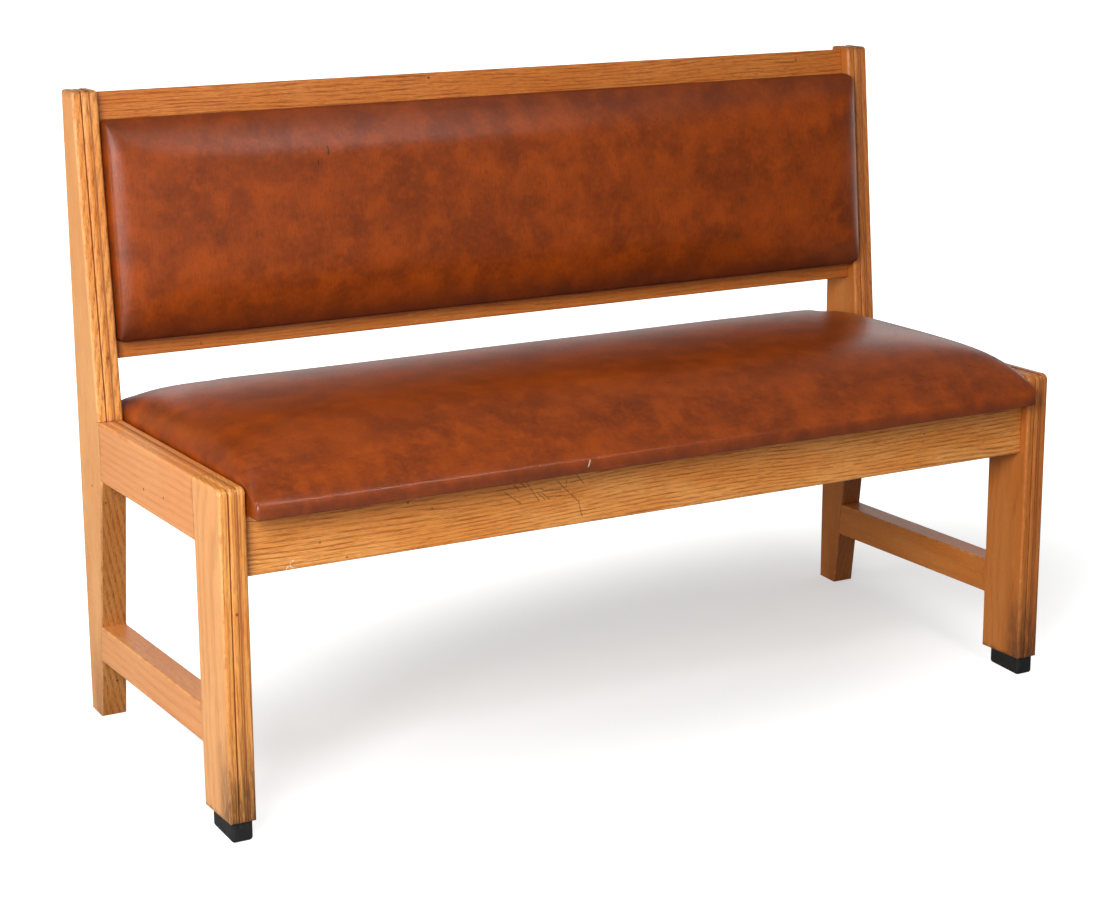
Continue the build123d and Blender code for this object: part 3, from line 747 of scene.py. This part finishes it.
def swell(piece, held):
    """Lets the cover pull tight over its stuffing: a cloth simulation, kept close to the drawn form."""
    start = np.empty(len(piece.data.vertices) * 3)
    piece.data.vertices.foreach_get("co", start)
    group = piece.vertex_groups.new(name="held")
    group.add(held, 1, "REPLACE")
    cloth = piece.modifiers.new("cloth", "CLOTH")
    settings = cloth.settings
    settings.quality = 5
    settings.mass = 0.6
    settings.tension_stiffness = settings.compression_stiffness = 30
    settings.shear_stiffness = 12
    settings.bending_stiffness = 6
    settings.air_damping = 4
    settings.use_pressure = True
    settings.uniform_pressure_force = SWELL_PRESSURE
    settings.effector_weights.gravity = 0
    settings.vertex_group_mass = "held"
    cloth.collision_settings.use_collision = False
    cloth.point_cache.frame_start = 1
    cloth.point_cache.frame_end = SWELL_FRAMES
    scene = bpy.context.scene
    for number in range(1, SWELL_FRAMES + 1):
        scene.frame_set(number)
    evaluated = piece.evaluated_get(bpy.context.evaluated_depsgraph_get())
    end = np.empty_like(start)
    evaluated.to_mesh().vertices.foreach_get("co", end)
    evaluated.to_mesh_clear()
    piece.modifiers.remove(cloth)
    scene.frame_set(1)
    move = (end - start).reshape(-1, 3)
    length = np.linalg.norm(move, axis=1, keepdims=True)
    move *= np.minimum(1, SWELL_CAP / np.maximum(length, 1e-9))
    piece.data.vertices.foreach_set("co", (start.reshape(-1, 3) + move).ravel())
    piece.vertex_groups.clear()
    piece.data.update()


def smooth_finish(piece):
    """Smooth shading over one level of subdivision."""
    for polygon in piece.data.polygons:
        polygon.use_smooth = True
    subdivision = piece.modifiers.new("subdivision", "SUBSURF")
    subdivision.levels = subdivision.render_levels = 1


# Height of each pad's top by its distance from an edge
seat_front_rise = curve_through([
    (0, 12.5), (0.5, 15.8), (1.3, 17.9), (2.6, 20.2), (4.4, 22.4), (7, 24.9), (10.5, 27.8), (15, 31.1), (40, 46.4),
    (60, 57), (82, 66.5), (110, 75.5), (150, 84), (200, 89.5), (260, 92), (600, 93)])
seat_back_rise = curve_through([
    (0, 38), (1.3, 44), (4.4, 50), (10.5, 57), (20, 63), (30, 67), (50, 72), (90, 81), (140, 87), (200, 90.5),
    (600, 93)])
seat_side_rise = curve_through([
    (0, 40), (0.5, 43), (1.3, 45.5), (2.6, 48.5), (4.4, 52), (7, 56), (10.5, 60), (15, 64), (27, 71), (50, 78),
    (80, 83.5), (120, 88), (200, 93), (320, 97), (700, 99)])
back_low_rise = curve_through([
    (0, 17), (0.5, 20), (1.3, 22.2), (2.6, 24.6), (4.4, 26.8), (7, 29.2), (10.5, 31.7), (15, 34), (30, 38.6),
    (50, 41.8), (100, 46), (200, 48.5), (600, 50)])
back_high_rise = curve_through([
    (0, 18), (0.5, 20.8), (1.3, 23), (2.6, 25.5), (4.4, 27.8), (7, 30.4), (10.5, 33), (15, 35.4), (30, 40),
    (50, 43), (100, 46.5), (200, 48.5), (600, 50)])
back_side_rise = curve_through([
    (0, 31), (0.5, 32.4), (1.3, 33.6), (2.6, 35), (4.4, 36.5), (7, 38.2), (10.5, 40), (15, 41.8), (25, 44.4),
    (45, 47), (80, 48.6), (150, 50), (700, 52)])


def seat_top(x, y):
    """Height of the seat pad's top above the seat rails."""
    front, back, side = y - SEAT_FRONT, SEAT_BACK - y, PAD_HALF - np.abs(x)
    rise = soft_least(seat_front_rise(front), seat_back_rise(back), 14)
    rise = soft_least(rise, seat_side_rise(side), 26)
    settled = np.clip(np.minimum(np.minimum(front, back), side) / 90, 0, 1)
    return rise + wander(x, y, 5, 420) * 1.6 * settled


def seat_foot(x, y):
    """Height of the seat cover's bottom edge, a little raised at its front corners."""
    corner = np.clip(1 - np.hypot(np.abs(x) - PAD_HALF, y - SEAT_FRONT) / 120, 0, 1)
    return 0.2 + 1.2 * corner ** 2 * (y < FRONT_RAIL_FRONT)


def back_top(x, v):
    """Height of the back pad's front above the rails that it lies on, v up the pad."""
    low, high, side = v - BACK_PAD_BOTTOM, BACK_PAD_BOTTOM + BACK_PAD_HEIGHT - v, PAD_HALF - np.abs(x)
    rise = soft_least(back_low_rise(low), back_high_rise(high), 8)
    rise = soft_least(rise, back_side_rise(side), 8)
    settled = np.clip(np.minimum(np.minimum(low, high), side) / 70, 0, 1)
    return rise + wander(x, v, 11, 360) * 1.1 * settled


def back_foot(x, v):
    """Height of the back cover's edge above the rails."""
    return np.full_like(x, 0.2)


def make_pads():
    """The two covered pads, in place of the part's covers and foams."""
    seat, seat_held = pad_form("seat_pad", SEAT_FRONT, SEAT_BACK, seat_top, seat_foot, radius=7, spacing=12, fold=24,
                               recess=6, wall_rows=(0.25, 0.5, 0.75, 0.92),
                               place=Matrix.Translation((0, 0, SEAT_HEIGHT)))
    back, back_held = pad_form("back_pad", BACK_PAD_BOTTOM, BACK_PAD_BOTTOM + BACK_PAD_HEIGHT, back_top, back_foot,
                               radius=9, spacing=12, fold=22, recess=4, wall_rows=(0.3, 0.6, 0.85),
                               place=BACK_PLACE)
    for piece, held in ((seat, seat_held), (back, back_held)):
        swell(piece, held)
        smooth_finish(piece)
        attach(piece, "root")
    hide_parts("seat_cover", "seat_foam")
    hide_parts("back_cover", "back_foam")
    return seat, back


# Staples under the seat's front edge
STAPLE_REACH = 570.0
STAPLE_Y = -8.0
STAPLE_DROP = 0.2


def staple_row(name, start, end, count, seed, paint):
    """A row of wire staples between two places, each turned a little, made by Geometry Nodes."""
    tree = bpy.data.node_groups.new(name + "_tree", "GeometryNodeTree")
    sockets = {}
    for label, kind, value in (("Count", "NodeSocketInt", count), ("Start", "NodeSocketVector", start),
                               ("End", "NodeSocketVector", end), ("Width", "NodeSocketFloat", 10.0),
                               ("Wire", "NodeSocketFloat", 1.1), ("Leg", "NodeSocketFloat", 3.0),
                               ("Turn", "NodeSocketFloat", 0.16), ("Seed", "NodeSocketInt", seed)):
        sockets[label] = (tree.interface.new_socket(label, in_out="INPUT", socket_type=kind), value)
    tree.interface.new_socket("Geometry", in_out="OUTPUT", socket_type="NodeSocketGeometry")
    source, result = tree.nodes.new("NodeGroupInput"), tree.nodes.new("NodeGroupOutput")

    def add(kind, settings=None, **values):
        """A node of this type, with its settings and its named sockets, each set or linked."""
        node = tree.nodes.new(kind)
        for key, value in (settings or {}).items():
            setattr(node, key, value)
        for key, value in values.items():
            socket = node.inputs[key.replace("_", " ")]
            for one in value if isinstance(value, list) else [value]:
                if isinstance(one, bpy.types.NodeSocket):
                    tree.links.new(one, socket)
                else:
                    socket.default_value = one
        return node

    def times(value, factor):
        """A given value times a number."""
        node = add("ShaderNodeMath", {"operation": "MULTIPLY"})
        tree.links.new(value, node.inputs[0])
        node.inputs[1].default_value = factor
        return node.outputs[0]

    given = source.outputs
    crown_size = add("ShaderNodeCombineXYZ", X=given["Width"], Y=given["Wire"], Z=given["Wire"])
    leg_size = add("ShaderNodeCombineXYZ", X=given["Wire"], Y=given["Wire"], Z=given["Leg"])
    crown = add("GeometryNodeMeshCube", Size=crown_size.outputs[0])
    leg = add("GeometryNodeMeshCube", Size=leg_size.outputs[0])
    parts = [crown.outputs["Mesh"]]
    for way in (-1, 1):
        place = add("ShaderNodeCombineXYZ", X=times(given["Width"], way / 2), Z=times(given["Leg"], 1 / 2))
        moved = add("GeometryNodeTransform", Geometry=leg.outputs["Mesh"], Translation=place.outputs[0])
        parts.append(moved.outputs["Geometry"])
    staple = add("GeometryNodeJoinGeometry", Geometry=parts)
    line = add("GeometryNodeMeshLine", {"mode": "END_POINTS"}, Count=given["Count"], Start_Location=given["Start"],
               Offset=given["End"])
    low = add("ShaderNodeCombineXYZ", Z=times(given["Turn"], -1))
    high = add("ShaderNodeCombineXYZ", Z=given["Turn"])
    turn = add("FunctionNodeRandomValue", {"data_type": "FLOAT_VECTOR"}, Min=low.outputs[0], Max=high.outputs[0],
               Seed=given["Seed"])
    row = add("GeometryNodeInstanceOnPoints", Points=line.outputs["Mesh"], Instance=staple.outputs["Geometry"],
              Rotation=turn.outputs["Value"])
    real = add("GeometryNodeRealizeInstances", Geometry=row.outputs["Instances"])
    coated = add("GeometryNodeSetMaterial", Geometry=real.outputs["Geometry"], Material=paint)
    tree.links.new(coated.outputs["Geometry"], result.inputs[0])

    piece = bpy.data.objects.new(name, bpy.data.meshes.new(name))
    bpy.context.scene.collection.objects.link(piece)
    nodes = piece.modifiers.new("row", "NODES")
    nodes.node_group = tree
    for socket, value in sockets.values():
        nodes[socket.identifier] = value
    made = bpy.data.meshes.new_from_object(piece.evaluated_get(bpy.context.evaluated_depsgraph_get()))
    piece.modifiers.remove(nodes)
    made.transform(TO_ROW)
    piece.data = made
    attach(piece, "root")


# Dressing and stage
def dress(obj, material):
    """Gives an object this one material."""
    obj.data.materials.clear()
    obj.data.materials.append(material)


def dress_nodes():
    """Gives every node of the part its material."""
    paints = oak_paints()
    black, bare, grey, spongy = rubber(), plywood(), steel("zinced_steel"), foam()
    for name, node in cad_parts.items():
        if name in paints:
            dress(node, paints[name])
        elif "rubber_block" in name and "screws" not in name:
            dress(node, black)
        elif name.endswith("_board"):
            dress(node, bare)
        elif name.endswith("screws"):
            dress(node, grey)
        else:
            dress(node, spongy)


# The floor's patch that isn't lit up to white, so that the shadow shows on it
SHADOW_X = 200
SHADOW_Y = 290
SHADOW_STRETCH = 2.4
SHADOW_SLOPE = 0.15
SHADOW_EDGE = (140, 640)


def make_floor():
    """Pale floor that the camera sees as white, with the bench's shadow on it."""
    bpy.ops.mesh.primitive_plane_add(size=24, location=(0, 0, 0))
    floor = bpy.context.object
    floor.name = "floor"
    paint = Paint("floor_paint")
    paint.shader.inputs["Roughness"].default_value = 0.9
    paint.shader.inputs["Specular IOR Level"].default_value = 0.1

    glow = paint.tree.nodes.new("ShaderNodeEmission")
    glow.inputs["Color"].default_value = (1, 1, 1, 1)
    glow.inputs["Strength"].default_value = 1.5
    rays = paint.tree.nodes.new("ShaderNodeLightPath")
    blend = paint.tree.nodes.new("ShaderNodeMixShader")

    x, y = paint.bench()[:2]
    along, across = (x - SHADOW_X) / SHADOW_STRETCH, y - x * SHADOW_SLOPE - SHADOW_Y
    away = paint.math("SQRT", along * along + across * across)
    seen = Wire(paint, rays.outputs["Is Camera Ray"])
    paint.feed(paint.shader.inputs["Base Color"], paint.mix(seen, (0.36, 0.36, 0.36), (0.84, 0.84, 0.84)))
    paint.feed(blend.inputs[0], seen * away.step(*SHADOW_EDGE).scaled(0.27, 0.96))

    paint.tree.links.new(paint.shader.outputs[0], blend.inputs[1])
    paint.tree.links.new(glow.outputs[0], blend.inputs[2])
    paint.tree.links.new(blend.outputs[0], paint.output.inputs["Surface"])
    dress(floor, paint.material)


def make_world():
    """White to the camera, and a faint fill light on the bench."""
    world = bpy.data.worlds.new("studio")
    bpy.context.scene.world = world
    world.use_nodes = True
    nodes, links = world.node_tree.nodes, world.node_tree.links
    nodes.clear()
    output = nodes.new("ShaderNodeOutputWorld")
    seen, cast = nodes.new("ShaderNodeBackground"), nodes.new("ShaderNodeBackground")
    seen.inputs["Strength"].default_value = 1.0
    seen.inputs["Color"].default_value = (1, 1, 1, 1)
    cast.inputs["Color"].default_value = (1, 0.985, 0.97, 1)
    cast.inputs["Strength"].default_value = 0.15
    rays, blend = nodes.new("ShaderNodeLightPath"), nodes.new("ShaderNodeMixShader")
    links.new(rays.outputs["Is Camera Ray"], blend.inputs[0])
    links.new(cast.outputs[0], blend.inputs[1])
    links.new(seen.outputs[0], blend.inputs[2])
    links.new(blend.outputs[0], output.inputs["Surface"])


bpy.context.scene.view_settings.view_transform = "Standard"
make_camera()
make_world()
for light in LIGHTS:
    soft_light(*light)
make_floor()
dress_nodes()
seat_pad, back_pad = make_pads()
staple_row("seat_front_staples", (-STAPLE_REACH, STAPLE_Y, SEAT_HEIGHT - STAPLE_DROP),
           (STAPLE_REACH, STAPLE_Y, SEAT_HEIGHT - STAPLE_DROP), 39, 4, steel("staple_wire"))
dress(seat_pad, vinyl("seat_vinyl", 2.3, SEAT_STREAK_RATES, 0.16, 0.5, seat_lip_darkening, seat_nick, NICKED))
dress(back_pad, vinyl("back_vinyl", 7.9, BACK_STREAK_RATES, 0.3, 0.36, back_edge_shade, back_tears, TORN))
